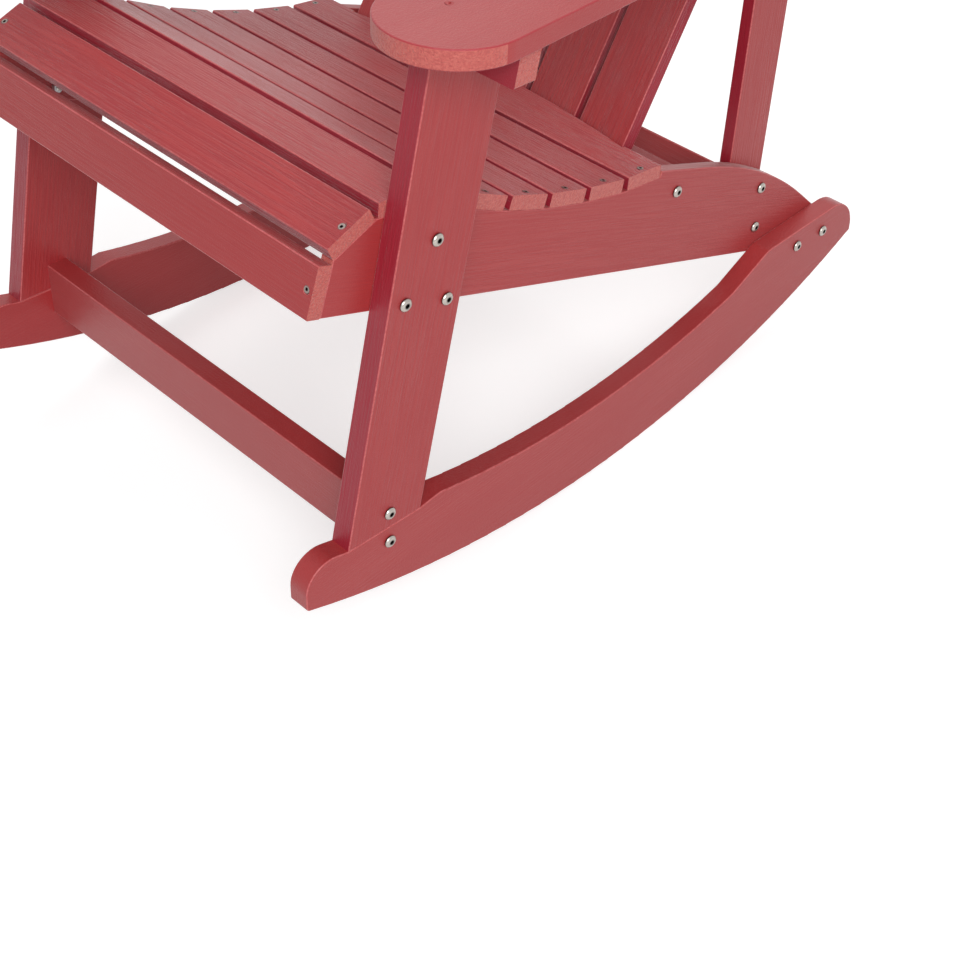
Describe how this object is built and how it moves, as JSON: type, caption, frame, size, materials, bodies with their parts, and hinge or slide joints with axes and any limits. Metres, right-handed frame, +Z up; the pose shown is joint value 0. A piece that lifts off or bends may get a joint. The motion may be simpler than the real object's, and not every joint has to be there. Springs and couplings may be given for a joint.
{
  "type": "rocking adirondack chair",
  "caption": "Low outdoor rocking armchair of flat boards: scooped slatted seat, leaning slatted back in a hollow curve, wide level arms and curved rockers.",
  "frame": {"origin": "bottom centre of the chair's box, on the floor, with the chair standing where it balances", "axes": "+X across the chair to the sitter's left, +Y from the front to the back, +Z up; the sitter faces -Y"},
  "size_m": [0.7, 0.979, 0.8905],
  "materials": {
    "red_board": "matt through-coloured plastic wood with fine embossed grain",
    "bolt_metal": "satin",
    "screw_metal": "satin"
  },
  "bodies": {
    "root": {"rocker_left": "red_board", "rocker_right": "red_board", "front_leg_left": "red_board", "front_leg_right": "red_board", "side_rail_left": "red_board", "side_rail_right": "red_board", "rear_post_left": "red_board", "rear_post_right": "red_board", "arm_left": "red_board", "arm_right": "red_board", "arm_bracket_left": "red_board", "arm_bracket_right": "red_board", "front_stretcher": "red_board", "front_apron": "red_board", "rear_cross_board": "red_board", "seat_slat_nose": "red_board", "seat_slat_1": "red_board", "seat_slat_2": "red_board", "seat_slat_3": "red_board", "seat_slat_4": "red_board", "seat_slat_5": "red_board", "seat_slat_6": "red_board", "seat_slat_7": "red_board", "lower_back_rail": "red_board", "arm_back_rail": "red_board", "upper_back_rail": "red_board", "back_slat_1": "red_board", "back_slat_2": "red_board", "back_slat_3": "red_board", "back_slat_4": "red_board", "back_slat_5": "red_board", "leg_bolts": "bolt_metal", "foot_bolts": "bolt_metal", "post_bolts": "bolt_metal", "rocker_bolts": "bolt_metal", "back_rail_bolts": "bolt_metal", "leg_nuts": "bolt_metal", "post_nuts": "bolt_metal", "rocker_nuts": "bolt_metal", "foot_barrel_nuts": "bolt_metal", "back_rail_barrel_nuts": "bolt_metal", "seat_slat_screws": "screw_metal", "front_apron_screws": "screw_metal", "arm_screws": "screw_metal", "arm_bracket_screws": "screw_metal", "rear_cross_board_screws": "screw_metal", "back_slat_screws": "screw_metal"}
  },
  "joints": []
}
